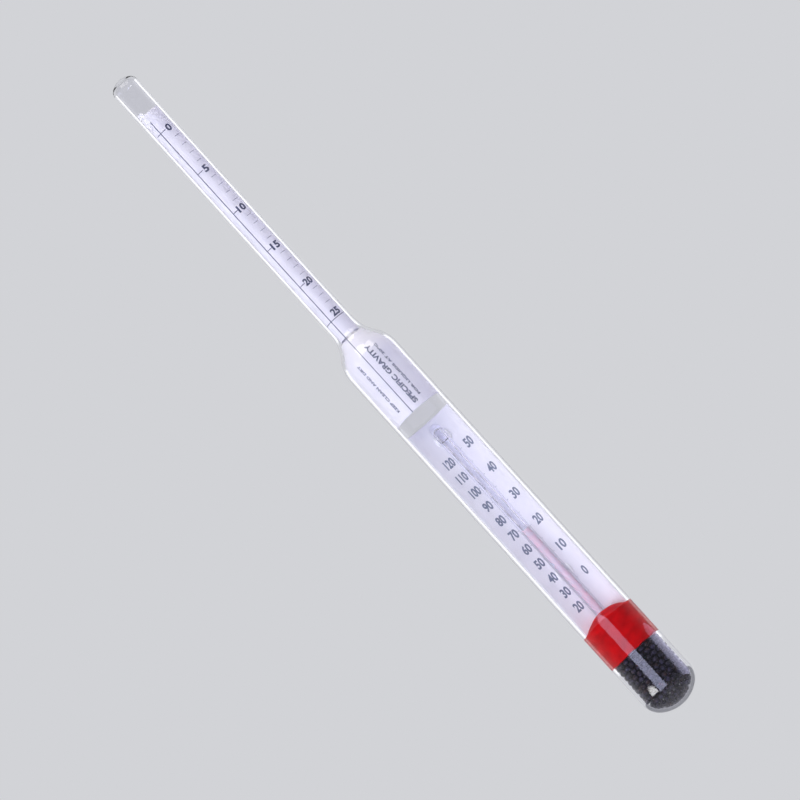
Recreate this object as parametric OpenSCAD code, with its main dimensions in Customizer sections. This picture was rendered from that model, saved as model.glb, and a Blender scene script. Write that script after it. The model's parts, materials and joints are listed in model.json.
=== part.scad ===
// Thermo-hydrometer: a sealed glass float with a paper scale in its stem, shot ballast under a
// wax plug, and a red-spirit thermometer in its body.
// The origin is the lowest point of the bulb, +Z runs up the stem and the scales face -Y.

/* [Glass float] */
// Overall length of the float
overall_length = 300; // [280:1:330]
// Outer diameter of the body
body_diameter = 22; // [21:0.5:24]
// Outer diameter of the stem
stem_diameter = 10.6; // [10:0.1:11.5]
// Thickness of the glass
glass_wall = 1.085; // [0.9:0.005:1.2]
// Extra thickness at the bottom and at the sealed tip
end_extra = 0.5; // [0:0.1:0.8]
// Height at which the body starts to narrow into the shoulder
shoulder_z = 162.5; // [155:0.5:168]

/* [Ballast] */
// Diameter of one shot ball
shot_diameter = 2.3; // [2:0.05:2.3]
// Height of the top of the shot
shot_top_z = 24.6; // [20:0.1:28]
// Height of the wax at the glass
wax_rim_z = 39.3; // [34:0.1:42]
// How far the wax stands up in the middle
wax_crown = 3.9; // [1:0.1:5]

/* [Thermometer] */
// Outer diameter of the capillary
capillary_diameter = 4.2; // [3.8:0.1:4.4]
// Diameter of the bore
bore_diameter = 1.8; // [1:0.1:2]
// Outer diameter of the bulb
bulb_diameter = 10.2; // [8:0.1:10.2]
// Height of the bottom of the bulb
bulb_z = 8; // [7:0.5:12]
// Height at which the bulb starts to narrow into the capillary
bulb_neck_z = 34; // [30:0.5:35]
// Height of the sealed top of the capillary
capillary_top_z = 132; // [125:1:134]
// Height of the zero mark of the Celsius scale
celsius_zero_z = 57.9; // [52:0.1:62]
// Rise of the spirit for one degree Celsius
rise_per_degree = 1.224; // [1.1:0.001:1.25]
// Temperature at which the float is drawn
rest_temperature = 20; // [15:1:25]

/* [Paper] */
// Height of the top of the stem scale
stem_paper_top_z = 283.6; // [270:0.1:286]
// Height of the lower end of the slip in the body
slip_z = 138.6; // [137:0.1:145]
// Height of the upper end of that slip, in the shoulder
slip_top_z = 174; // [168:0.5:175]
// Height of the top of the temperature card
card_top_z = 134; // [134:0.5:136]
// Radius to which the temperature card bows
card_bow = 16; // [14:0.5:20]
// Thickness of the paper in the stem and of the slip
paper_thickness = 0.2; // [0.15:0.05:0.25]
// How deep the temperature card stands in the wax at its edges
card_depth = 0.8; // [0.5:0.1:0.8]
// Thickness of the temperature card
card_thickness = 0.35; // [0.3:0.05:0.4]

/* [Hidden] */
$fn = 96;

// Outline of the float. A crown and a knuckle round off each end, and two equal arcs make the
// shoulder. The centres of any two arcs that meet lie on the long side of a 3-4-5 triangle.
body_r = body_diameter / 2;
stem_r = stem_diameter / 2;
bottom_knuckle_x = 3;
tip_knuckle_x = 2.1;
shoulder_arc_r = 2.5 * (body_r - stem_r);
shoulder_length = 2 * 0.6 * shoulder_arc_r;
stem_foot_z = shoulder_z + shoulder_length;

// Radii of an end's knuckle and crown, and its height from the top to the straight wall.
function knuckle_r(r, knuckle_x) = r - knuckle_x;
function crown_r(r, knuckle_x) = knuckle_r(r, knuckle_x) + 5 / 3 * knuckle_x;
function end_height(r, knuckle_x) = crown_r(r, knuckle_x) - 4 / 3 * knuckle_x;

bottom_h = end_height(body_r, bottom_knuckle_x);
tip_h = end_height(stem_r, tip_knuckle_x);

// Fits between the glass and what lies in it.
paper_gap = 0.12;
wax_gap = 0.04;
tube_gap = 0.02;
inner_r = body_r - glass_wall;
paper_inset = glass_wall + paper_gap;
stem_seam_angle = 24;
slip_wrap_angle = 200;

// Thermometer glass, bore and spirit.
bulb_wall = 0.5;
neck_length = 4.4;
capillary_r = capillary_diameter / 2;
bore_r = bore_diameter / 2;
bulb_r = bulb_diameter / 2;
chamber_r = 1.3;
chamber_z = 124;
chamber_top_z = capillary_top_z - 2.2;
spirit_gap = 0.05;
thread_foot_z = bulb_neck_z + neck_length + 0.4;
thread_top_z = celsius_zero_z + rest_temperature * rise_per_degree;

// Temperature card, bowed about an upright line in front of the float.
card_front_y = capillary_r + 0.15;
card_axis_y = card_front_y - card_bow;
card_half_width = 9.3;
card_half_angle = asin(card_half_width / card_bow);
card_foot_z = wax_rim_z - card_depth;
cement_length = 4;
cement_z = [60, 124];

// Shot: rings of balls, layer on layer.
shot_r = shot_diameter / 2;
shot_gap = 0.02;
wall_gap = 0.13;
shot_pitch = shot_diameter + shot_gap;
shot_reach = glass_wall + shot_r + wall_gap;
knuckle_z = bottom_h + end_extra;
straight_pitch = shot_pitch * sqrt(3) / 2;
straight_layers = floor((shot_top_z - shot_r - knuckle_z) / straight_pitch) + 1;
first_straight_z = shot_top_z - shot_r - (straight_layers - 1) * straight_pitch;
dome_floor_z = shot_reach + end_extra;
dome_layers = floor((first_straight_z - dome_floor_z) / shot_pitch);

// A closed end in the half plane, from its lowest point at z = inset up to the straight wall.
// The line through the centres of crown and knuckle parts the two arcs.
module end_outline(r, knuckle_x, inset) {
    height = end_height(r, knuckle_x);
    crown = crown_r(r, knuckle_x);
    below = -1;
    below_x = 0.75 * (crown - below);
    intersection() {
        translate([0, crown]) circle(crown - inset);
        polygon([[0, height], [0, below], [below_x, below], [knuckle_x, height]]);
    }
    intersection() {
        translate([knuckle_x, height]) circle(knuckle_r(r, knuckle_x) - inset);
        polygon([[knuckle_x, height], [below_x, below], [2 * r, below], [2 * r, height]]);
    }
}

// The solid half outline of the float, shrunk by inset, with its two ends drawn in by extra.
module float_outline(inset, extra = 0) {
    low_z = bottom_h + extra;
    high_z = overall_length - tip_h - extra;
    arcs_meet_z = shoulder_z + 0.6 * (shoulder_arc_r - inset);
    translate([0, extra]) end_outline(body_r, bottom_knuckle_x, inset);
    translate([0, low_z]) square([body_r - inset, shoulder_z - low_z]);
    intersection() {
        translate([body_r - shoulder_arc_r, shoulder_z]) circle(shoulder_arc_r - inset);
        translate([0, shoulder_z]) square([body_r, arcs_meet_z - shoulder_z]);
    }
    difference() {
        translate([0, arcs_meet_z])
            square([stem_r + shoulder_arc_r, stem_foot_z - arcs_meet_z]);
        translate([stem_r + shoulder_arc_r, stem_foot_z]) circle(shoulder_arc_r + inset);
    }
    translate([0, stem_foot_z]) square([stem_r - inset, high_z - stem_foot_z]);
    translate([0, overall_length - extra]) mirror([0, 1])
        end_outline(stem_r, tip_knuckle_x, inset);
}

// Keeps the band of a half outline between two heights.
module band(low_z, high_z) {
    intersection() {
        children();
        translate([0, low_z]) square([body_diameter, high_z - low_z]);
    }
}

// Turns a half outline through an angle of wrap centred on the front, -Y.
module turned_front(wrap) {
    rotate([0, 0, -90 - wrap / 2]) rotate_extrude(angle = wrap) children();
}

module glass_envelope() {
    color("lightcyan", 0.35) rotate_extrude() difference() {
        float_outline(0);
        float_outline(glass_wall, end_extra);
    }
}

// Rolled into a tube with its seam at the back.
module stem_scale() {
    outer = stem_r - paper_inset;
    color("whitesmoke") turned_front(360 - stem_seam_angle)
        translate([outer - paper_thickness, slip_top_z + 1])
            square([paper_thickness, stem_paper_top_z - slip_top_z - 1]);
}

// Lies round the front of the body and is tucked up into the shoulder.
module body_slip() {
    color("whitesmoke") turned_front(slip_wrap_angle) band(slip_z, slip_top_z) difference() {
        float_outline(paper_inset);
        float_outline(paper_inset + paper_thickness);
    }
}

// The bowed card from its foot up, grown by gap all round.
module card_body(gap = 0) {
    translate([0, card_axis_y, card_foot_z - gap]) rotate([0, 0, 90 - card_half_angle - gap * 4])
        rotate_extrude(angle = 2 * (card_half_angle + gap * 4))
            translate([card_bow - gap, 0])
                square([card_thickness + 2 * gap, card_top_z - card_foot_z + gap]);
}

module temperature_card() {
    color("ghostwhite") card_body();
}

// Half outline of a bulb that narrows into a tube and is closed with round ends.
module bulb_outline(bulb, tube, low_z, neck_z, top_z) {
    translate([0, low_z + bulb]) intersection() {
        circle(bulb);
        translate([0, -bulb]) square([bulb, bulb]);
    }
    translate([0, low_z + bulb]) square([bulb, neck_z - low_z - bulb]);
    polygon([[0, neck_z], [bulb, neck_z], [tube, neck_z + neck_length], [0, neck_z + neck_length]]);
    translate([0, neck_z + neck_length]) square([tube, top_z - tube - neck_z - neck_length]);
    translate([0, top_z - tube]) intersection() {
        circle(tube);
        square([tube, tube]);
    }
}

// Outside of the thermometer's glass, grown by gap.
module thermometer_outline(gap = 0) {
    bulb_outline(bulb_r + gap, capillary_r + gap, bulb_z - gap, bulb_neck_z, capillary_top_z + gap);
}

module thermometer_tube() {
    color("lightblue", 0.5) rotate_extrude() difference() {
        thermometer_outline();
        bulb_outline(bulb_r - bulb_wall, bore_r, bulb_z + bulb_wall, bulb_neck_z, chamber_z + 2);
        translate([0, chamber_z]) square([chamber_r, chamber_top_z - chamber_z]);
    }
}

module spirit_reservoir() {
    spirit_r = bulb_r - bulb_wall - spirit_gap;
    color("crimson") rotate_extrude() band(0, bulb_neck_z + neck_length)
        bulb_outline(spirit_r, bore_r - spirit_gap, bulb_z + bulb_wall + spirit_gap,
            bulb_neck_z, chamber_z);
}

module spirit_thread() {
    color("crimson") translate([0, 0, thread_foot_z])
        cylinder(r = bore_r - spirit_gap, h = thread_top_z - thread_foot_z);
}

module wax_plug() {
    wax_r = inner_r - wax_gap;
    dome_r = (wax_r * wax_r + wax_crown * wax_crown) / (2 * wax_crown);
    foot_z = shot_top_z + wall_gap;
    color("firebrick") difference() {
        rotate_extrude() difference() {
            intersection() {
                translate([0, wax_rim_z + wax_crown - dome_r]) circle(dome_r);
                translate([0, foot_z]) square([wax_r, wax_rim_z + wax_crown - foot_z]);
            }
            thermometer_outline(tube_gap);
        }
        card_body(tube_gap);
    }
}

// Farthest that a ball's centre may stand from the axis at height z.
function reach_at(z) =
    let (
        crown_z = crown_r(body_r, bottom_knuckle_x) + end_extra,
        crown_reach = crown_r(body_r, bottom_knuckle_x) - shot_reach,
        knuckle_reach = knuckle_r(body_r, bottom_knuckle_x) - shot_reach,
        on_crown = sqrt(max(0, pow(crown_reach, 2) - pow(crown_z - z, 2))),
        on_knuckle = sqrt(max(0, pow(knuckle_reach, 2) - pow(knuckle_z - z, 2)))
    )
    z >= knuckle_z ? body_r - shot_reach
        : on_crown < 0.75 * (crown_z - z) ? on_crown
        : bottom_knuckle_x + on_knuckle;

// Nearest that a ball's centre may stand to the axis: the thermometer's bulb is in the way.
function clear_of_bulb(z) =
    let (low = bulb_z + bulb_r, near = bulb_r + shot_r + tube_gap)
    z >= low ? near : sqrt(max(0, near * near - pow(low - z, 2)));

// One ring of balls, turned by a share of a ball's width.
module shot_ring(r, z, turn) {
    count = r < shot_pitch / 2 ? 1 : floor(180 / asin(shot_pitch / 2 / r));
    ring_r = count == 1 ? 0 : r;
    for (i = [0 : count - 1])
        rotate([0, 0, (i + turn) * 360 / count]) translate([ring_r, 0, z]) sphere(shot_r);
}

module shot_layer(z, turn) {
    outer = reach_at(z);
    inner = clear_of_bulb(z);
    for (r = [outer : -shot_pitch : inner]) shot_ring(r, z, turn);
}

module ballast_shot() {
    color("dimgray") {
        for (k = [0 : dome_layers - 1])
            shot_layer(first_straight_z - (dome_layers - k) * shot_pitch, 0);
        for (k = [0 : straight_layers - 1])
            shot_layer(first_straight_z + k * straight_pitch, (k % 2) / 2);
    }
}

// A dab on the top edge of the rolled paper, held in by the stem's bore.
module stem_cement() {
    color("white") intersection() {
        translate([-2.6, -1.6, stem_paper_top_z - 0.4]) sphere(2.2);
        translate([0, 0, stem_paper_top_z + tube_gap])
            cylinder(r = stem_r - glass_wall - wax_gap, h = overall_length - stem_paper_top_z);
    }
}

// Fillets of cement between the sides of the capillary and the face of the card.
module card_cement() {
    fillet_r = 3.1;
    card_edge_y = card_axis_y + sqrt(card_bow * card_bow - fillet_r * fillet_r);
    color("white") for (z = cement_z) translate([0, 0, z]) linear_extrude(cement_length)
        difference() {
            intersection() {
                circle(fillet_r);
                translate([-fillet_r, 0]) square([2 * fillet_r, card_edge_y - tube_gap]);
            }
            circle(capillary_r + tube_gap);
        }
}

glass_envelope();
stem_scale();
body_slip();
temperature_card();
thermometer_tube();
spirit_reservoir();
spirit_thread();
wax_plug();
ballast_shot();
stem_cement();
card_cement();
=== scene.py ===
"""A thermo-hydrometer: blown glass, rolled paper scales, a spirit thermometer, wax and shot."""
import json
import math
import random

import bmesh
import bpy
from mathutils import Matrix, Vector, noise


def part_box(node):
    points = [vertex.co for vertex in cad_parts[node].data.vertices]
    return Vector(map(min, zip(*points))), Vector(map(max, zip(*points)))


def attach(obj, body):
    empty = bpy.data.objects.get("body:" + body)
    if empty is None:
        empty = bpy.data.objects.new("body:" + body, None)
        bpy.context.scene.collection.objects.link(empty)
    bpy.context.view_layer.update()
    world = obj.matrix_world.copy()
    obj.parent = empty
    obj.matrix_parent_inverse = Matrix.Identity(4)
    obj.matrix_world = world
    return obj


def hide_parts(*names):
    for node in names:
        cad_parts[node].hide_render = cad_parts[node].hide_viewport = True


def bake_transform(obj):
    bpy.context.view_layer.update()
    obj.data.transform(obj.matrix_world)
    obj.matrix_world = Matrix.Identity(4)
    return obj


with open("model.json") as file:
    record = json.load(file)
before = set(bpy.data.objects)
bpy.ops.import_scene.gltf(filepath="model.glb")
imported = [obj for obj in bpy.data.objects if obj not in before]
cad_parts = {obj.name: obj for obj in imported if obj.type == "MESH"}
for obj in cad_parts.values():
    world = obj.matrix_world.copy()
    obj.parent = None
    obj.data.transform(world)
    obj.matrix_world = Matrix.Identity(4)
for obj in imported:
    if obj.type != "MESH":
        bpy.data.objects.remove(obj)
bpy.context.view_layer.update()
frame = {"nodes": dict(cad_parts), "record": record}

MM = 0.001
FLOAT = "float"

# ---------------------------------------------------------------- sizes, from the frame
mounts = {m["name"]: m for m in frame["record"]["mounts"]}


def mount_span(name):
    """Lowest and highest z of a round mount's straight wall."""
    middle, length = mounts[name]["pos_m"][2], mounts[name]["dims"]["length_mm"] * MM
    return middle - length / 2, middle + length / 2


def heights(node):
    """Lowest and highest z of a node."""
    low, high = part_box(node)
    return low.z, high.z


def reach(node):
    """How far a node reaches from the axis along X."""
    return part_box(node)[1].x


body_r, stem_r = (mounts[n]["dims"]["r_mm"] * MM for n in ("barrel", "stem"))
body_z, shoulder_z = mount_span("barrel")
stem_z = mount_span("stem")[0]
float_length = heights("glass_envelope")[1]

# The CAD leaves a small gap between wax and glass.
WAX_GAP = 0.04 * MM
WALL = body_r - reach("wax_plug") - WAX_GAP

# The glass is this much thicker at its two closed ends.
END_EXTRA = 0.1 * MM
BOTTOM_KNUCKLE_X = 3 * MM
TIP_KNUCKLE_X = 2.1 * MM

# Arcs of the glass meet where they slope as a 3-4-5 triangle does. The two equal arcs of the
# shoulder then step in by 0.4 of their radius.
THREE_FOUR_FIVE = math.degrees(math.atan2(3, 4))
MEETING_SLOPE = 3 / 4
MEETING_SINE = 3 / 5
SHOULDER_ARC_R = 2.5 * (body_r - stem_r)

# ---------------------------------------------------------------- shaping helpers


def arc(x, z, r, start, end, step=4.0):
    """Points on an arc about (x, z), from one angle to another in degrees, 0 pointing out."""
    count = max(2, round(abs(end - start) / step))
    angles = [math.radians(start + (end - start) * i / count) for i in range(count + 1)]
    return [(x + r * math.cos(a), z + r * math.sin(a)) for a in angles]


def straight(x, low, high, step=10 * MM):
    """Points up a straight wall, with one close to each end to keep the shading flat."""
    hold = min(0.4 * MM, (high - low) / 4)
    count = max(1, round((high - low - 2 * hold) / step))
    rise = (high - low - 2 * hold) / count
    return [(x, low), *((x, low + hold + rise * i) for i in range(count + 1)), (x, high)]


def joined(*stretches):
    """One outline out of several, without the points that two of them share."""
    points = []
    for stretch in stretches:
        for p in stretch:
            if not points or math.dist(points[-1], p) > 1e-7:
                points.append(p)
    return points


def spun(outline, wrap=360.0, turns=96, loop=False):
    """A bmesh of an outline in the XZ plane turned about Z, a wrap under 360 centred on -Y."""
    bm = bmesh.new()
    verts = [bm.verts.new((x, 0, z)) for x, z in outline]
    edges = [bm.edges.new(pair) for pair in zip(verts, verts[1:])]
    if loop:
        edges.append(bm.edges.new((verts[-1], verts[0])))
    full = wrap >= 360
    start = Matrix.Rotation(0 if full else math.radians(-90 - wrap / 2), 4, "Z")
    bmesh.ops.transform(bm, matrix=start, verts=verts)
    bmesh.ops.spin(
        bm, geom=verts + edges, cent=(0, 0, 0), axis=(0, 0, 1), dvec=(0, 0, 0),
        angle=math.radians(wrap), steps=turns, use_merge=full, use_duplicate=False,
    )
    bmesh.ops.remove_doubles(bm, verts=bm.verts, dist=1e-7)
    bmesh.ops.recalc_face_normals(bm, faces=bm.faces)
    return bm


def add_bmesh(target, source, flip=False):
    """Copies one bmesh into another, turned inside out if it lines a cavity."""
    if flip:
        bmesh.ops.reverse_faces(source, faces=source.faces)
    mesh = bpy.data.meshes.new("part")
    source.to_mesh(mesh)
    source.free()
    target.from_mesh(mesh)
    bpy.data.meshes.remove(mesh)


def piece(name, bm, material, body=FLOAT, stands_for=(), smooth=True):
    """Makes a finished object from a bmesh and gives it its material, slot and body."""
    mesh = bpy.data.meshes.new(name)
    for face in bm.faces:
        face.smooth = smooth
    bm.to_mesh(mesh)
    bm.free()
    obj = bpy.data.objects.new(name, mesh)
    bpy.context.scene.collection.objects.link(obj)
    mesh.materials.append(material)
    if stands_for:
        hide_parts(*stands_for)
    if body:
        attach(obj, body)
    return obj


# ---------------------------------------------------------------- material helpers


def linear(code):
    """An sRGB hex colour as the linear RGBA that a shader takes."""
    values = [int(code[i:i + 2], 16) / 255 for i in (1, 3, 5)]
    return (*[v / 12.92 if v <= 0.04045 else ((v + 0.055) / 1.055) ** 2.4 for v in values], 1)


def new_material(name):
    """An empty node material."""
    mat = bpy.data.materials.new(name)
    mat.use_nodes = True
    mat.node_tree.nodes.clear()
    return mat


def add(owner, kind, links=(), **settings):
    """Adds a node. links are (input, output socket) pairs; settings are inputs or properties."""
    node = owner.node_tree.nodes.new("ShaderNode" + kind)
    for key, value in settings.items():
        socket = node.inputs.get(key.replace("_", " "))
        if socket is not None:
            socket.default_value = value
        else:
            setattr(node, key, value)
    for key, source in links:
        owner.node_tree.links.new(source, node.inputs[key])
    return node


def object_space(mat, stretch=(1, 1, 1)):
    """Object coordinates, squeezed or stretched along the axes."""
    coords = add(mat, "TexCoord")
    return add(
        mat, "Mapping", [("Vector", coords.outputs["Object"])], Scale=stretch
    ).outputs["Vector"]


def set_ramp(ramp, dark, light, spread):
    """Gives a colour ramp its two colours and their places."""
    for stop, code, place in zip(ramp.color_ramp.elements, (dark, light), spread):
        stop.position = place
        stop.color = linear(code)


def mottle(mat, vector, size_mm, dark, light, spread=(0.35, 0.65), detail=3.0):
    """A noise of a given grain size, and a colour that runs between two with it."""
    grain = add(mat, "TexNoise", [("Vector", vector)], Scale=1 / (size_mm * MM), Detail=detail)
    ramp = add(mat, "ValToRGB", [("Fac", grain.outputs["Fac"])])
    set_ramp(ramp, dark, light, spread)
    return grain.outputs["Fac"], ramp.outputs["Color"]


# Nearly all values of a noise lie in this range.
NOISE = {"From_Min": 0.3, "From_Max": 0.7}

# ---------------------------------------------------------------- materials


def drawn_glass(name, tint, density, streak_mm, streak_depth_mm):
    """Soda-lime tube glass, drawn and flame-worked: clear, faintly violet in depth, with very
    faint draw lines along the tube. Shadow rays pass it, so that the paper inside is lit."""
    mat = new_material(name)
    streaks = add(
        mat, "TexNoise", [("Vector", object_space(mat, (1, 1, 0.02)))],
        Scale=1 / (streak_mm * MM), Detail=2.0,
    )
    draw_lines = add(
        mat, "Bump", [("Height", streaks.outputs["Fac"])],
        Distance=streak_depth_mm * MM, Strength=0.5,
    )
    glass = add(
        mat, "BsdfPrincipled", [("Normal", draw_lines.outputs["Normal"])],
        Base_Color=linear(tint), Roughness=0.015, IOR=1.51, Transmission_Weight=1.0,
    )
    clear = add(mat, "BsdfTransparent", Color=linear(tint))
    ray = add(mat, "LightPath")
    surface = add(
        mat, "MixShader",
        [("Fac", ray.outputs["Is Shadow Ray"]), (1, glass.outputs[0]), (2, clear.outputs[0])],
    )
    depth = add(mat, "VolumeAbsorption", Color=linear(tint), Density=density)
    add(mat, "OutputMaterial", [("Surface", surface.outputs[0]), ("Volume", depth.outputs[0])])
    return mat


def paper(name, dark, light, fibre_mm, roughness):
    """Calendered chart paper: matt, a cool white, with fibres just felt in the surface."""
    mat = new_material(name)
    space = object_space(mat)
    colour = mottle(mat, space, 9.0, dark, light, (0.3, 0.7))[1]
    fibres = add(mat, "TexNoise", [("Vector", space)], Scale=1 / (fibre_mm * MM), Detail=6.0)
    gloss = add(
        mat, "MapRange", [("Value", fibres.outputs["Fac"])],
        **NOISE, To_Min=roughness - 0.08, To_Max=roughness,
    )
    felt = add(mat, "Bump", [("Height", fibres.outputs["Fac"])], Distance=0.02 * MM)
    surface = add(
        mat, "BsdfPrincipled",
        [
            ("Base Color", colour),
            ("Roughness", gloss.outputs["Result"]),
            ("Normal", felt.outputs["Normal"]),
        ],
        IOR=1.45,
    )
    add(mat, "OutputMaterial", [("Surface", surface.outputs[0])])
    return mat


def printing_ink(name, dark, light):
    """Letterpress ink on paper: slate blue, a little thin where the paper's grain shows."""
    mat = new_material(name)
    grain, colour = mottle(mat, object_space(mat), 0.35, dark, light)
    gloss = add(mat, "MapRange", [("Value", grain)], **NOISE, To_Min=0.5, To_Max=0.75)
    film = add(
        mat, "BsdfPrincipled", [("Base Color", colour), ("Roughness", gloss.outputs["Result"])]
    )
    add(mat, "OutputMaterial", [("Surface", film.outputs[0])])
    return mat


def dyed_spirit():
    """Red-dyed spirit in a fine bore: faded to a pale pink that glows a little in its depth."""
    mat = new_material("red_dyed_spirit")
    cloud, colour = mottle(mat, object_space(mat, (1, 1, 0.1)), 3.0, "#F0DBE5", "#F5E3EC")
    gloss = add(mat, "MapRange", [("Value", cloud)], **NOISE, To_Min=0.08, To_Max=0.16)
    liquid = add(
        mat, "BsdfPrincipled", [("Base Color", colour), ("Roughness", gloss.outputs["Result"])],
        IOR=1.36, Subsurface_Weight=0.5, Subsurface_Scale=1.0,
        Subsurface_Radius=(0.9 * MM, 0.3 * MM, 0.3 * MM),
    )
    add(mat, "OutputMaterial", [("Surface", liquid.outputs[0])])
    return mat


def poured_wax():
    """Red sealing wax, poured hot: a deep red with cloudy flow marks and a soft waxy sheen."""
    mat = new_material("poured_red_wax")
    space = object_space(mat, (1, 1, 1.6))
    cloud, colour = mottle(mat, space, 4.5, "#AE0009", "#DA000B", (0.3, 0.72), 5.0)
    gloss = add(mat, "MapRange", [("Value", cloud)], **NOISE, To_Min=0.45, To_Max=0.6)
    skin = add(mat, "TexNoise", [("Vector", space)], Scale=1 / (0.8 * MM), Detail=4.0)
    flow = add(mat, "Bump", [("Height", skin.outputs["Fac"])], Distance=0.05 * MM)
    surface = add(
        mat, "BsdfPrincipled",
        [
            ("Base Color", colour),
            ("Roughness", gloss.outputs["Result"]),
            ("Normal", flow.outputs["Normal"]),
        ],
        IOR=1.44, Specular_IOR_Level=0.05, Subsurface_Weight=0.2, Subsurface_Scale=1.0,
        Subsurface_Radius=(1.2 * MM, 0.2 * MM, 0.15 * MM),
    )
    add(mat, "OutputMaterial", [("Surface", surface.outputs[0])])
    return mat


def oiled_shot():
    """Steel shot, oiled and blued: near-black violet balls with brown oxide here and there."""
    mat = new_material("blued_steel_shot")
    space = object_space(mat)
    tone, blue = mottle(mat, space, 2.2, "#110D18", "#2C2740", (0.38, 0.66))
    gloss = add(mat, "MapRange", [("Value", tone)], **NOISE, To_Min=0.38, To_Max=0.6)
    oxide = add(mat, "TexNoise", [("Vector", space)], Scale=1 / (2.4 * MM), Detail=2.0)
    share = add(
        mat, "MapRange", [("Value", oxide.outputs["Fac"])],
        From_Min=0.52, From_Max=0.66, To_Min=0.0, To_Max=0.85,
    )
    # Of a colour mix, inputs 6 and 7 and output 2 are the colours.
    tint = add(mat, "Mix", [("Factor", share.outputs["Result"]), (6, blue)], data_type="RGBA")
    tint.inputs[7].default_value = linear("#331C1A")
    pits = add(mat, "TexNoise", [("Vector", space)], Scale=1 / (0.3 * MM), Detail=3.0)
    pitting = add(mat, "Bump", [("Height", pits.outputs["Fac"])], Distance=0.03 * MM)
    surface = add(
        mat, "BsdfPrincipled",
        [
            ("Base Color", tint.outputs[2]),
            ("Roughness", gloss.outputs["Result"]),
            ("Normal", pitting.outputs["Normal"]),
        ],
        Metallic=0.55,
    )
    add(mat, "OutputMaterial", [("Surface", surface.outputs[0])])
    return mat


def dried_cement():
    """Instrument cement, dried: chalk white, matt and slightly lumpy."""
    mat = new_material("dried_white_cement")
    lumps, colour = mottle(mat, object_space(mat), 0.9, "#EEEEF0", "#FCFCFD")
    gloss = add(mat, "MapRange", [("Value", lumps)], **NOISE, To_Min=0.65, To_Max=0.9)
    relief = add(mat, "Bump", [("Height", lumps)], Distance=0.15 * MM)
    chalk = add(
        mat, "BsdfPrincipled",
        [
            ("Base Color", colour),
            ("Roughness", gloss.outputs["Result"]),
            ("Normal", relief.outputs["Normal"]),
        ],
    )
    add(mat, "OutputMaterial", [("Surface", chalk.outputs[0])])
    return mat


float_glass = drawn_glass("drawn_soda_lime_glass", "#FCFCFF", 12.0, 0.9, 0.0004)
bulb_glass = drawn_glass("capillary_glass", "#FAFAFD", 6.0, 0.5, 0.0001)
scale_paper = paper("chart_paper", "#ECEBF1", "#F4F3F7", 0.25, 0.85)
card_stock = paper("coated_card", "#F0EFF3", "#F7F6F9", 0.35, 0.7)
slate_ink = printing_ink("slate_letterpress_ink", "#383D57", "#565C78")
card_ink = printing_ink("faded_letterpress_ink", "#697186", "#868EA1")
grey_ink = printing_ink("grey_letterpress_ink", "#5A6072", "#7A8092")
spirit = dyed_spirit()
wax = poured_wax()
steel = oiled_shot()
cement = dried_cement()

# ---------------------------------------------------------------- the glass float


def end_shape(r, knuckle_x):
    """Radii of a closed end's knuckle and crown, and the height of the knuckle's centre."""
    knuckle = r - knuckle_x
    crown = knuckle + knuckle_x * 5 / 3
    return knuckle, crown, crown - knuckle_x * 4 / 3


def end_arcs(r, knuckle_x, inset, extra):
    """Crown and knuckle of a closed end that opens upwards from z = 0, axis first."""
    knuckle, crown, height = end_shape(r, knuckle_x)
    turn = -90 + THREE_FOUR_FIVE
    return joined(
        arc(0, crown + extra, crown - inset, -90, turn),
        arc(knuckle_x, height + extra, knuckle - inset, turn, 0),
    )


def float_outline(inset=0.0, extra=0.0):
    """Half outline of the float from the lowest point to the tip, shrunk by inset."""
    bottom = end_arcs(body_r, BOTTOM_KNUCKLE_X, inset, extra)
    tip = [
        (x, float_length - z) for x, z in end_arcs(stem_r, TIP_KNUCKLE_X, inset, extra)
    ][::-1]
    lower_x, upper_x = body_r - SHOULDER_ARC_R, stem_r + SHOULDER_ARC_R
    return joined(
        bottom,
        straight(body_r - inset, bottom[-1][1], shoulder_z),
        arc(lower_x, shoulder_z, SHOULDER_ARC_R - inset, 0, THREE_FOUR_FIVE, 1.5),
        arc(upper_x, stem_z, SHOULDER_ARC_R + inset, 180 + THREE_FOUR_FIVE, 180, 1.5),
        straight(stem_r - inset, stem_z, tip[0][1]),
        tip,
    )


def on_axis(outline):
    """The same outline with its two ends put exactly on the axis."""
    return [(0.0, outline[0][1]), *outline[1:-1], (0.0, outline[-1][1])]


glass = spun(on_axis(float_outline()), turns=128)
add_bmesh(glass, spun(on_axis(float_outline(WALL, END_EXTRA)), turns=128), flip=True)
piece("float_glass", glass, float_glass, stands_for=["glass_envelope"])

# ---------------------------------------------------------------- thermometer glass and spirit

CAPILLARY_R = 2.1 * MM
NECK_LENGTH = 4.4 * MM
BULB_WALL = 0.5 * MM
BORE_GAP = 0.05 * MM
CHAMBER_R = 1.3 * MM
CHAMBER_LENGTH = 5 * MM
CLOSED_END = 2.2 * MM

# The spirit reaches this far into its glass, so that no gap shows.
SPIRIT_FILM = 0.01 * MM

bulb_z, capillary_top_z = heights("thermometer_tube")
bulb_r = reach("thermometer_tube")
thread_foot_z, thread_top_z = heights("spirit_thread")
neck_top_z = heights("spirit_reservoir")[1]
neck_z = neck_top_z - NECK_LENGTH
bore_r = reach("spirit_thread") + BORE_GAP
wet_r = bore_r + SPIRIT_FILM


def bulb_outline(bulb, tube, low, top):
    """Half outline of a round-bottomed bulb that flows into a tube with a round end."""
    middle = (bulb + tube) / 2
    half = NECK_LENGTH / 2
    bend = ((bulb - middle) ** 2 + half ** 2) / (2 * (bulb - middle))
    turn = math.degrees(math.asin(half / bend))
    return joined(
        arc(0, low + bulb, bulb, -90, 0),
        straight(bulb, low + bulb, neck_z),
        arc(bulb - bend, neck_z, bend, 0, turn, 6),
        arc(tube + bend, neck_top_z, bend, 180 + turn, 180, 6),
        straight(tube, neck_top_z, top - tube),
        arc(0, top - tube, tube, 0, 90, 10),
    )


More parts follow.
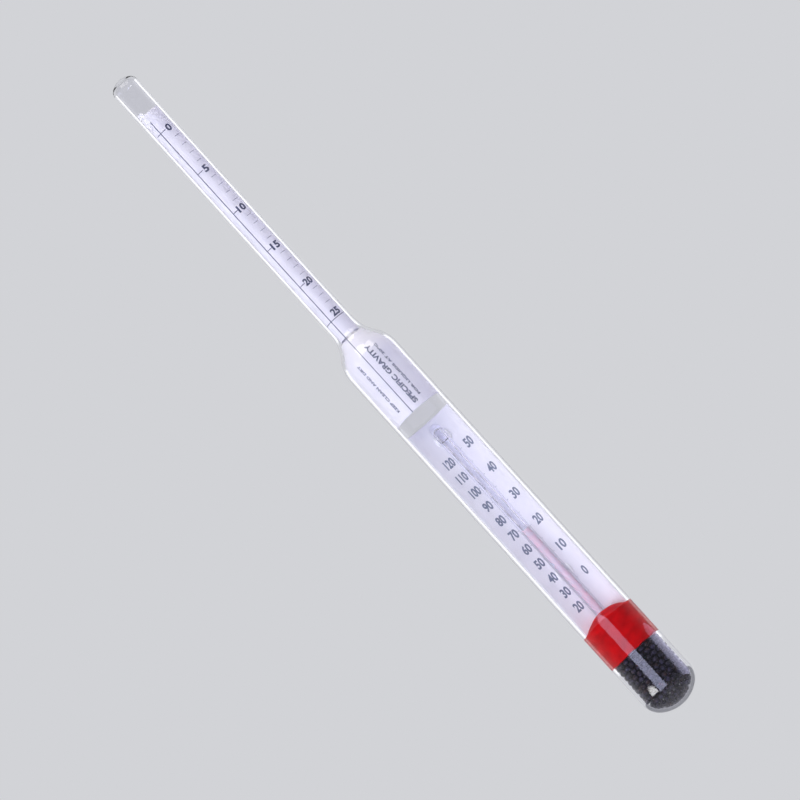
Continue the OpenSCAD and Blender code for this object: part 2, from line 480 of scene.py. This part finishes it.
thermometer = spun(on_axis(bulb_outline(bulb_r, CAPILLARY_R, bulb_z, capillary_top_z)), turns=48)
chamber_top_z = capillary_top_z - CLOSED_END
chamber_z = chamber_top_z - CHAMBER_LENGTH
bore = bulb_outline(bulb_r - BULB_WALL, bore_r, bulb_z + BULB_WALL, chamber_z)

# The last points of the bore's round end are left out, where the expansion chamber opens.
OPEN_END = 6
cavity = joined(
    bore[:-OPEN_END],
    arc(bore_r, chamber_z, CHAMBER_R - bore_r, -90, 0, 30),
    arc(0, chamber_top_z - CHAMBER_R, CHAMBER_R, 0, 90, 15),
)
add_bmesh(thermometer, spun(on_axis(cavity), turns=48), flip=True)
piece(
    "thermometer_glass", thermometer, bulb_glass,
    stands_for=["thermometer_tube"],
)

reservoir_outline = bulb_outline(
    bulb_r - BULB_WALL + SPIRIT_FILM, wet_r, bulb_z + BULB_WALL, neck_top_z + bore_r
)
reservoir = spun(on_axis(reservoir_outline), turns=48)
piece("bulb_spirit", reservoir, spirit, stands_for=["spirit_reservoir"])

# The thread starts inside the bulb, so that it can stretch out of it and shrink back into it.
THREAD_ROOT = 24 * MM
MENISCUS = 0.5 * MM
root_z = thread_foot_z - THREAD_ROOT
meniscus_r = (wet_r ** 2 + MENISCUS ** 2) / (2 * MENISCUS)
meniscus_turn = math.degrees(math.asin(wet_r / meniscus_r))
thread_outline = joined(
    [(0, root_z)],
    straight(wet_r, root_z, thread_top_z, 2 * MM),
    arc(0, thread_top_z + meniscus_r - MENISCUS, meniscus_r, -90 + meniscus_turn, -90, 15),
)
thread = piece(
    "spirit_thread_visual", spun(on_axis(thread_outline), turns=32), spirit,
    body=None, stands_for=["spirit_thread"],
)
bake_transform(thread)

# ---------------------------------------------------------------- wax and shot

random.seed(4)
WAX_FILM = 0.03 * MM
WAX_CROWN = 3.9 * MM
DOME_SHARE = 0.95
LIP_HEIGHT = 0.5 * MM
LIP_WIDTH = 0.5 * MM
inner_r = body_r - WALL
wax_r = inner_r + WAX_FILM
wax_foot_z, wax_top_z = heights("wax_plug")
wax_rim_z = wax_top_z - WAX_CROWN


def wax_top(x):
    """Height of the wax at a distance from the axis: a dome that creeps up the glass."""
    dome = WAX_CROWN * (1 - (x / wax_r) ** 2)
    lip = LIP_HEIGHT * math.exp(-(wax_r - x) / LIP_WIDTH)
    return wax_rim_z + dome * DOME_SHARE + lip


def uneven(bm, low, high, size, depth):
    """Moves what lies between two heights up or down by a smooth noise, to look poured."""
    for v in bm.verts:
        if low <= v.co.z <= high:
            v.co.z += depth * noise.noise(v.co / size)


tube_fit = CAPILLARY_R + SPIRIT_FILM
bulb_fit = bulb_r + SPIRIT_FILM

# Steps across the top of the wax lie closer together near the glass.
TOP_STEPS = 14
top_steps = [wax_r - (wax_r - tube_fit) * (i / TOP_STEPS) ** 1.3 for i in range(TOP_STEPS + 1)]
wax_profile = joined(
    [(bulb_fit, wax_foot_z), (wax_r, wax_foot_z)],
    straight(wax_r, wax_foot_z, wax_rim_z, 3 * MM)[1:-1],
    [(x, wax_top(x)) for x in top_steps],
    [(tube_fit, neck_top_z), (bulb_fit, neck_z)],
)
plug = spun(wax_profile, turns=96, loop=True)
uneven(plug, wax_rim_z - MM, wax_top_z + MM, 7 * MM, 0.5 * MM)
uneven(plug, wax_foot_z - MM, wax_foot_z + MM, 3 * MM, 0.35 * MM)
piece("poured_wax", plug, wax, stands_for=["wax_plug"])


def islands(node):
    """Centre and radius of each separate ball of a CAD node, from its own mesh."""
    bm = bmesh.new()
    bm.from_mesh(frame["nodes"][node].data)
    bmesh.ops.remove_doubles(bm, verts=bm.verts, dist=1e-6)
    left, found = set(bm.verts), []
    while left:
        front = [left.pop()]
        ball = list(front)
        while front:
            v = front.pop()
            for edge in v.link_edges:
                other = edge.other_vert(v)
                if other in left:
                    left.remove(other)
                    front.append(other)
                    ball.append(other)
        low = Vector([min(v.co[i] for v in ball) for i in range(3)])
        high = Vector([max(v.co[i] for v in ball) for i in range(3)])
        found.append(((low + high) / 2, (high - low).z / 2))
    bm.free()
    return sorted(found, key=lambda ball: tuple(round(n, 6) for n in ball[0].zxy))


inner_floor_z = WALL + END_EXTRA


def bottom_r(z):
    """Radius of the float's inside at a height in its round bottom or body."""
    knuckle, crown, height = end_shape(body_r, BOTTOM_KNUCKLE_X)
    below_knuckle = height + END_EXTRA - z
    below_crown = crown + END_EXTRA - z
    if below_knuckle <= 0:
        return inner_r
    on_crown = math.sqrt(max(0, (crown - WALL) ** 2 - below_crown ** 2))
    if on_crown < MEETING_SLOPE * below_crown:
        return on_crown
    return BOTTOM_KNUCKLE_X + math.sqrt(max(0, (knuckle - WALL) ** 2 - below_knuckle ** 2))


def inside_glass(centre, r):
    """Whether a ball clears the glass, tried at five places on its outer lower side."""
    out = math.hypot(centre.x, centre.y)
    for angle in (0, -20, -45, -70, -90):
        turn = math.radians(angle)
        z = centre.z + r * math.sin(turn)
        if z < inner_floor_z or out + r * math.cos(turn) > bottom_r(z):
            return False
    return True


# Balls of the shot vary a little in size and place.
SMALLEST_BALL = 0.95
BALL_JOG_MM = 0.06
balls = []
for centre, r in islands("ballast_shot"):
    ball_r = r * random.uniform(SMALLEST_BALL, 1.0)
    jog = Vector([random.uniform(-1, 1) for i in range(3)]) * BALL_JOG_MM * MM
    balls.append((centre + jog, ball_r))
shot_top_z = heights("ballast_shot")[1]

# Smaller grains have run into the gaps, as they do in graded shot. Every second one is tried
# beside the glass, and every third one on the round bottom. GRAIN_FIT is how near two may come,
# as a share of their radii together, so that some overlap a little.
GRAIN_TRIES = 9000
GRAIN_R_MM = (0.45, 0.95)
GRAIN_FIT = 0.86
GLASS_GAP = 0.05 * MM
RIM_GAP = 0.1 * MM
RAISE_STEP = 0.1 * MM
for attempt in range(GRAIN_TRIES):
    r = random.uniform(*GRAIN_R_MM) * MM
    turn = random.uniform(0, math.tau)
    out = inner_r * math.sqrt(random.uniform(0, 1))
    if attempt % 2:
        out = inner_r - r - RIM_GAP
    grain = Vector((out * math.cos(turn), out * math.sin(turn), 0))
    grain.z = random.uniform(inner_floor_z + r, shot_top_z - r)
    if attempt % 3 == 0:
        grain.z = inner_floor_z + r
        while not inside_glass(grain, r + GLASS_GAP) and grain.z < body_z:
            grain.z += RAISE_STEP
    in_bulb = max(0, bulb_z + bulb_r - grain.z)
    if math.hypot(out, in_bulb) < bulb_r + r or not inside_glass(grain, r + GLASS_GAP):
        continue
    if all((grain - c).length > GRAIN_FIT * (r + other) for c, other in balls):
        balls.append((grain, r))

shot = bmesh.new()
for centre, r in balls:
    turn = Matrix.Rotation(random.uniform(0, math.tau), 4, Vector((1, 2, 3)))
    bmesh.ops.create_icosphere(
        shot, subdivisions=2, radius=r, matrix=Matrix.Translation(centre) @ turn
    )
piece("loose_shot", shot, steel, stands_for=["ballast_shot"])

# ---------------------------------------------------------------- paper and card

PAPER = 0.2 * MM
CARD = 0.35 * MM
PAPER_GAP = 0.12 * MM
CARD_BOW = 16 * MM
CARD_FACE_Y = 2.25 * MM
CARD_AXIS_Y = CARD_FACE_Y - CARD_BOW
STEM_WRAP = 336
SLIP_WRAP = 200
SHOULDER_STEPS = 12


def sheet(face, thickness, wrap, turns):
    """A rolled sheet round -Y. face is the outline of its outer side, from bottom to top."""
    back = [(x - thickness, z) for x, z in face][::-1]
    bm = spun([*face, *back], wrap=wrap, turns=turns, loop=True)
    ends = [edge for edge in bm.edges if edge.is_boundary]
    bmesh.ops.holes_fill(bm, edges=ends, sides=0)
    bmesh.ops.recalc_face_normals(bm, faces=bm.faces)
    return bm


paper_r = reach("stem_scale")
paper_z, paper_top_z = heights("stem_scale")
roll = sheet(straight(paper_r, paper_z, paper_top_z), PAPER, STEM_WRAP, 84)
piece("rolled_stem_scale", roll, scale_paper, stands_for=["stem_scale"])

slip_z, slip_top_z = heights("body_slip")


def slip_r(z):
    """Outer radius of the slip in the body, which follows the glass up into the shoulder."""
    inset = WALL + PAPER_GAP
    up = z - shoulder_z
    lower = SHOULDER_ARC_R - inset
    if up <= 0:
        return body_r - inset
    if up <= lower * MEETING_SINE:
        return body_r - SHOULDER_ARC_R + math.sqrt(lower ** 2 - up ** 2)
    upper = SHOULDER_ARC_R + inset
    return stem_r + SHOULDER_ARC_R - math.sqrt(upper ** 2 - (stem_z - z) ** 2)


bend = slip_top_z - shoulder_z
bend_z = [shoulder_z + bend * i / SHOULDER_STEPS for i in range(1, SHOULDER_STEPS + 1)]
slip_face = joined(straight(slip_r(slip_z), slip_z, shoulder_z), [(slip_r(z), z) for z in bend_z])
slip = sheet(slip_face, PAPER, SLIP_WRAP, 64)
piece("body_slip_paper", slip, scale_paper, stands_for=["body_slip"])

card_z, card_top_z = heights("temperature_card")
card_wrap = 2 * math.degrees(math.asin(reach("temperature_card") / (CARD_BOW + CARD)))
card = sheet(straight(CARD_BOW + CARD, card_z, card_top_z), CARD, card_wrap, 40)
bmesh.ops.rotate(card, verts=card.verts, cent=(0, 0, 0), matrix=Matrix.Rotation(math.pi, 3, "Z"))
bmesh.ops.translate(card, verts=card.verts, vec=(0, CARD_AXIS_Y, 0))
piece("bowed_temperature_card", card, card_stock, stands_for=["temperature_card"])

# ---------------------------------------------------------------- print

INK = 0.03 * MM

# Bold enough for print, as a share of the letters' height.
WEIGHT = 0.035


def on_stem(x, y, lift):
    """A place on the stem's rolled paper, x along its girth and y up the float."""
    r = paper_r + lift
    return Vector((r * math.sin(x / paper_r), -r * math.cos(x / paper_r), y))


def on_slip(x, y, lift):
    """A place on the slip in the body."""
    base = slip_r(y)
    turn = math.asin(x / base)
    return Vector(((base + lift) * math.sin(turn), -(base + lift) * math.cos(turn), y))


def on_card(x, y, lift):
    """A place on the hollow face of the temperature card."""
    r = CARD_BOW - lift
    return Vector((r * math.sin(x / CARD_BOW), CARD_AXIS_Y + r * math.cos(x / CARD_BOW), y))


def put(target, flat, place, girth_step=0.4 * MM, rise_step=None):
    """Cuts a flat bmesh into narrow strips, lays it on a paper and adds it to the print."""
    for axis, step in ((0, girth_step), (1, rise_step)):
        if step:
            low = min(v.co[axis] for v in flat.verts)
            high = max(v.co[axis] for v in flat.verts)
            normal = Vector([float(i == axis) for i in range(3)])
            for i in range(1, math.ceil((high - low) / step)):
                bmesh.ops.bisect_plane(
                    flat, geom=flat.verts[:] + flat.edges[:] + flat.faces[:],
                    plane_co=normal * (low + i * step), plane_no=normal,
                )
    for v in flat.verts:
        v.co = place(*v.co)
    add_bmesh(target, flat)


def bar(x0, x1, y0, y1):
    """A printed line as a flat closed block."""
    bm = bmesh.new()
    bmesh.ops.create_cube(bm, size=1)
    for v in bm.verts:
        v.co.x = x0 if v.co.x < 0 else x1
        v.co.y = y0 if v.co.y < 0 else y1
        v.co.z = 0 if v.co.z < 0 else INK
    return bm


def lettering(text, x, y, width, height, turned=False):
    """Printed characters as flat closed blocks, fitted to a width and a height about (x, y)."""
    curve = bpy.data.curves.new("lettering", "FONT")
    curve.body = text
    curve.extrude = 0.5
    curve.offset = WEIGHT
    curve.resolution_u = 3
    obj = bpy.data.objects.new("lettering", curve)
    bpy.context.scene.collection.objects.link(obj)
    evaluated = obj.evaluated_get(bpy.context.evaluated_depsgraph_get())
    mesh = bpy.data.meshes.new_from_object(evaluated)
    bm = bmesh.new()
    bm.from_mesh(mesh)
    bpy.data.objects.remove(obj)
    bpy.data.curves.remove(curve)
    bpy.data.meshes.remove(mesh)
    bmesh.ops.remove_doubles(bm, verts=bm.verts, dist=1e-5)
    low = Vector([min(v.co[i] for v in bm.verts) for i in range(3)])
    high = Vector([max(v.co[i] for v in bm.verts) for i in range(3)])
    span = high - low
    for v in bm.verts:
        across = ((v.co.x - low.x) / span.x - 0.5) * width
        up = ((v.co.y - low.y) / span.y - 0.5) * height
        if turned:
            across, up = -up, across
        v.co = Vector((x + across, y + up, INK if v.co.z > 0 else 0))
    return bm


# The stem's scale gives specific gravity: 0 at 1.000, each figure 0.025 denser.
STEM_ZERO_Z = 274.5 * MM
STEM_RISE = 825.3 * MM
DENSITY_STEP = 0.005
LAST_MARK = 25
LINE = 0.13 * MM
SPINE_X = -1.65 * MM
SPINE_HALF = 0.14 * MM
SPINE_MARGIN = 0.3 * MM
STEM_TICK = (1.3 * MM, 3.3 * MM)
LINE_END_X = 0.6 * MM
FIRST_LINE_X = -3.6 * MM
LAST_LINE_X = 6 * MM
STEM_FIGURE_X = 1.9 * MM
STEM_FIGURE_HEIGHT = 2.9 * MM
ONE_DIGIT, TWO_DIGITS = 1.9 * MM, 3.1 * MM
LAST_FIGURE_RISE = 2.0 * MM


def gravity_z(mark):
    """Height of a mark on the stem's scale."""
    return STEM_ZERO_Z - STEM_RISE * (1 - 1 / (1 + DENSITY_STEP * mark))


stem_print = bmesh.new()
spine = bar(SPINE_X - SPINE_HALF, SPINE_X + SPINE_HALF, paper_z, paper_top_z - SPINE_MARGIN)
put(stem_print, spine, on_stem)
for mark in range(LAST_MARK + 1):
    z = gravity_z(mark)
    if mark % 5:
        put(stem_print, bar(*STEM_TICK, z - LINE / 2, z + LINE / 2), on_stem)
        continue
    left, right = SPINE_X, LINE_END_X
    if mark == 0:
        left = FIRST_LINE_X
    if mark == LAST_MARK:
        left, right = -LAST_LINE_X, LAST_LINE_X
    put(stem_print, bar(left, right, z - LINE, z + LINE), on_stem)
    wide = ONE_DIGIT if mark < 10 else TWO_DIGITS
    figure_z = z + (LAST_FIGURE_RISE if mark == LAST_MARK else 0)
    figure = lettering(str(mark), STEM_FIGURE_X, figure_z, wide, STEM_FIGURE_HEIGHT)
    put(stem_print, figure, on_stem)
piece("stem_print", stem_print, slate_ink, smooth=False)

# The slip's lines run up the float: words, x, middle z, length and height, in millimetres.
SLIP_LINES = (
    ("SPECIFIC GRAVITY", 1.7, 154, 27, 1.8),
    ("FOR LIQUIDS AT 20\u00b0C", 4.4, 154, 24, 1.0),
    ("KEEP CLEAN AND DRY", -5.1, 153, 22, 0.9),
)
slip_print = bmesh.new()
spine = bar(SPINE_X - SPINE_HALF, SPINE_X + SPINE_HALF, slip_z, slip_top_z)
put(slip_print, spine, on_slip, rise_step=MM)
for words, x, z, length, height in SLIP_LINES:
    line = lettering(words, x * MM, z * MM, length * MM, height * MM, turned=True)
    put(slip_print, line, on_slip, rise_step=MM)
piece("slip_print", slip_print, grey_ink, smooth=False)

CELSIUS_ZERO_Z = 57.9 * MM
RISE_PER_DEGREE = 1.224 * MM
FAHRENHEIT_X = -4.5 * MM
CELSIUS_X = 6.1 * MM
CARD_FIGURE_HEIGHT = 3.8 * MM
CARD_FIGURE_WIDTHS = {1: 1.6 * MM, 2: 3.2 * MM, 3: 3.8 * MM}
FAHRENHEIT_TICK = (-2.6 * MM, -2.15 * MM)
CELSIUS_TICK = (2.15 * MM, 2.7 * MM)


def card_figure(number, x, z):
    """Prints a number on the temperature card."""
    wide = CARD_FIGURE_WIDTHS[len(str(number))]
    put(card_print, lettering(str(number), x, z, wide, CARD_FIGURE_HEIGHT), on_card)


card_print = bmesh.new()
for fahrenheit in range(20, 121, 10):
    z = CELSIUS_ZERO_Z + (fahrenheit - 32) / 1.8 * RISE_PER_DEGREE
    card_figure(fahrenheit, FAHRENHEIT_X, z)
    put(card_print, bar(*FAHRENHEIT_TICK, z - LINE / 2, z + LINE / 2), on_card)
for celsius in range(0, 51, 10):
    card_figure(celsius, CELSIUS_X, CELSIUS_ZERO_Z + celsius * RISE_PER_DEGREE)
for celsius in range(-5, 51, 5):
    z = CELSIUS_ZERO_Z + celsius * RISE_PER_DEGREE
    put(card_print, bar(*CELSIUS_TICK, z - LINE / 2, z + LINE / 2), on_card)
piece("card_print", card_print, card_ink, smooth=False)

# ---------------------------------------------------------------- cement

# The dab at the stem's top is a film between paper and glass, and bulges above the paper's edge.
DAB_Z = 282.0 * MM
DAB_HALF_HEIGHT = 3.3 * MM
DAB_TURN = -0.78
DAB_HALF_TURN = 0.52
DAB_DEPTH = 0.05 * MM
DAB_HALF_FILM = 0.04 * MM
DAB_BULGE = 1.1 * MM
stem_bore_r = stem_r - WALL
dab = bmesh.new()
bmesh.ops.create_icosphere(dab, subdivisions=3, radius=1)
for v in dab.verts:
    lump = 1 + 0.18 * noise.noise(v.co * 1.7)
    z = DAB_Z + v.co.z * DAB_HALF_HEIGHT * lump
    turn = DAB_TURN + v.co.x * DAB_HALF_TURN * lump
    r = stem_bore_r - DAB_DEPTH + v.co.y * DAB_HALF_FILM
    if z > paper_top_z:
        r -= max(0, v.co.y) * DAB_BULGE
    v.co = Vector((r * math.sin(turn), -r * math.cos(turn), z))
bmesh.ops.recalc_face_normals(dab, faces=dab.faces)
piece("cement_on_scale", dab, cement, stands_for=["stem_cement"])

# Four dabs hold the capillary on its card.
CARD_DABS_Z = (62 * MM, 126 * MM)
CARD_DAB_X = 2.35 * MM
CARD_DAB_Y = 1.5 * MM
CARD_DAB_HALF = (0.75 * MM, 0.7 * MM, 2.1 * MM)
blobs = bmesh.new()
for z in CARD_DABS_Z:
    for side in (-1, 1):
        blob = bmesh.new()
        bmesh.ops.create_icosphere(blob, subdivisions=3, radius=1)
        for v in blob.verts:
            lump = 1 + 0.2 * noise.noise(v.co * 1.3 + Vector((side, z / MM, 0)))
            x, y, up = (share * half for share, half in zip(v.co * lump, CARD_DAB_HALF))
            v.co = Vector((side * CARD_DAB_X + x, CARD_DAB_Y + y, z + up))
        add_bmesh(blobs, blob)
bmesh.ops.recalc_face_normals(blobs, faces=blobs.faces)
piece("cement_on_card", blobs, cement, stands_for=["card_cement"])

# ---------------------------------------------------------------- floor, light and camera

FLOOR_Z = -0.9
FLOOR_HALF = 20
floor_bm = bmesh.new()
bmesh.ops.create_grid(floor_bm, x_segments=1, y_segments=1, size=FLOOR_HALF)
for v in floor_bm.verts:
    v.co.z = FLOOR_Z

# Pale studio card, matt and slightly cloudy.
floor_mat = new_material("pale_floor")
floor_colour = mottle(floor_mat, object_space(floor_mat), 900.0, "#D2D3D6", "#DADBDE")[1]
floor_skin = add(floor_mat, "BsdfPrincipled", [("Base Color", floor_colour)], Roughness=0.9)
add(floor_mat, "OutputMaterial", [("Surface", floor_skin.outputs[0])])
floor_mesh = bpy.data.meshes.new("pale_floor")
floor_bm.to_mesh(floor_mesh)
floor_bm.free()
floor_mesh.materials.append(floor_mat)
floor_obj = bpy.data.objects.new("pale_floor", floor_mesh)
bpy.context.scene.collection.objects.link(floor_obj)

# The studio is pale, brightest behind the float, and dimmer on the reader's side so that the
# glass stays clear.
world = bpy.data.worlds.new("studio")
world.use_nodes = True
world.node_tree.nodes.clear()
direction = add(world, "TexCoord")
parts = add(world, "SeparateXYZ", [("Vector", direction.outputs["Generated"])])
depth = add(world, "MapRange", [("Value", parts.outputs["Y"])], From_Min=-1, From_Max=1)
shade = add(world, "ValToRGB", [("Fac", depth.outputs["Result"])])
set_ramp(shade, "#66666E", "#D2D3D7", (0.25, 0.85))
sky = add(world, "Background", [("Color", shade.outputs["Color"])])
add(world, "OutputWorld", [("Surface", sky.outputs["Background"])])
bpy.context.scene.world = world
bpy.context.scene.view_settings.view_transform = "Standard"
bpy.context.scene.view_settings.look = "None"

# The camera looks slightly up at the float, rolled so that the stem points up and to the left.
ELEVATION = math.radians(-8)
ROLL = math.radians(42.17)
CAMERA_DISTANCE = 1.6
PICTURE_WIDTH = 0.2829
SENSOR_MM = 36
AIM_RIGHT = 0.88 * MM
AIM_DOWN = 4.24 * MM
float_middle = Vector((0, 0, float_length / 2))
towards = Vector((0, -math.cos(ELEVATION), math.sin(ELEVATION)))
level_up = Vector((0, math.sin(ELEVATION), math.cos(ELEVATION)))
right = math.cos(ROLL) * Vector((1, 0, 0)) - math.sin(ROLL) * level_up
up = math.sin(ROLL) * Vector((1, 0, 0)) + math.cos(ROLL) * level_up
aim = float_middle + right * AIM_RIGHT - up * AIM_DOWN

camera = bpy.data.cameras.new("camera")
camera.sensor_width = SENSOR_MM
camera.lens = SENSOR_MM * CAMERA_DISTANCE / PICTURE_WIDTH
camera.clip_end = 80
camera_obj = bpy.data.objects.new("camera", camera)
camera_obj.matrix_world = (
    Matrix.Translation(aim + towards * CAMERA_DISTANCE)
    @ Matrix((right, up, towards)).transposed().to_4x4()
)
bpy.context.scene.collection.objects.link(camera_obj)
bpy.context.scene.camera = camera_obj


def softbox(name, spot, size, power, colour):
    """A rectangular light aimed at the middle of the float, out of the camera's sight."""
    light = bpy.data.lights.new(name, "AREA")
    light.shape = "RECTANGLE"
    light.size, light.size_y = size
    light.energy = power
    light.color = linear(colour)[:3]
    obj = bpy.data.objects.new(name, light)
    obj.location = spot
    obj.rotation_euler = (float_middle - Vector(spot)).to_track_quat("-Z", "Y").to_euler()
    obj.visible_camera = False
    bpy.context.scene.collection.objects.link(obj)


softbox("key_high", (-0.15, -1.1, 1.5), (1.2, 0.9), 9.6, "#FFFAEE")
softbox("fill_high_right", (0.9, -1.0, 1.45), (0.8, 0.7), 4, "#FFFAEE")
softbox("front_low", (-0.5, -1.8, -0.14), (1.2, 0.66), 8, "#D8DCFF")
softbox("spot_low_left", (-1.05, -0.75, -0.0155), (0.8, 0.2), 3.4, "#FFFFFF")
softbox("side_low_right", (1.25, 0.25, -0.18), (1.1, 0.62), 4, "#DAD8FF")
softbox("rim_left", (-0.9, 0.9, 0.37), (0.4, 0.54), 0.55, "#FFFFFF")
softbox("rim_right", (0.9, 0.9, 0.37), (0.4, 0.54), 0.55, "#FFFFFF")
